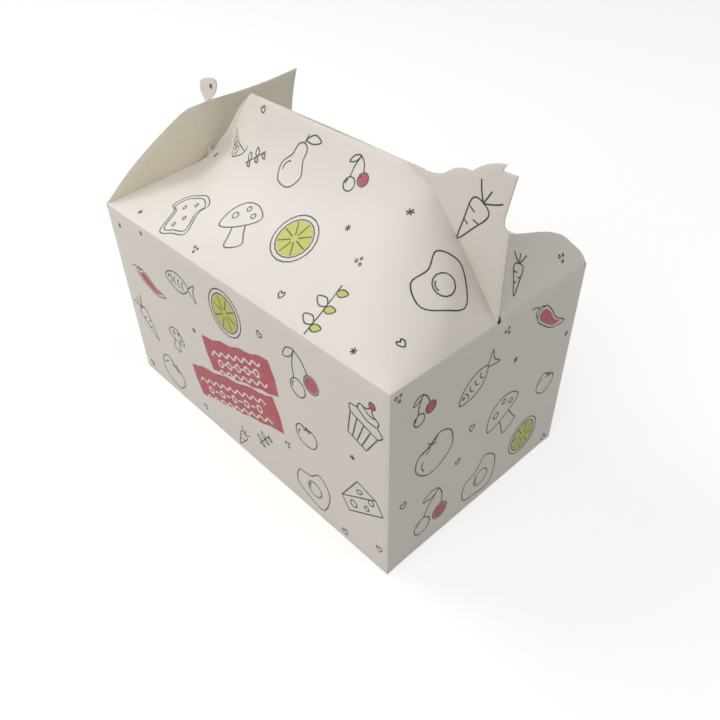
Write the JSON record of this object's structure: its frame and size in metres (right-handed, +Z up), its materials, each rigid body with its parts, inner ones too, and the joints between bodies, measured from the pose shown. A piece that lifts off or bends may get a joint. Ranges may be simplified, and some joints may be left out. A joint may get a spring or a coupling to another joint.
{
  "type": "takeout food box",
  "caption": "folded paperboard carry-out food carton with a gable top, leaning handle panels, interlocking hook tabs and a stepped lock bottom",
  "frame": {"origin": "middle of the footprint, on the surface that the carton stands on", "axes": "X along the long walls, Y towards the rear wall, Z up"},
  "size_m": [0.2, 0.12, 0.1675],
  "materials": {
    "board": "satin"
  },
  "bodies": {
    "root": {"folded_carton": "board"}
  },
  "joints": []
}
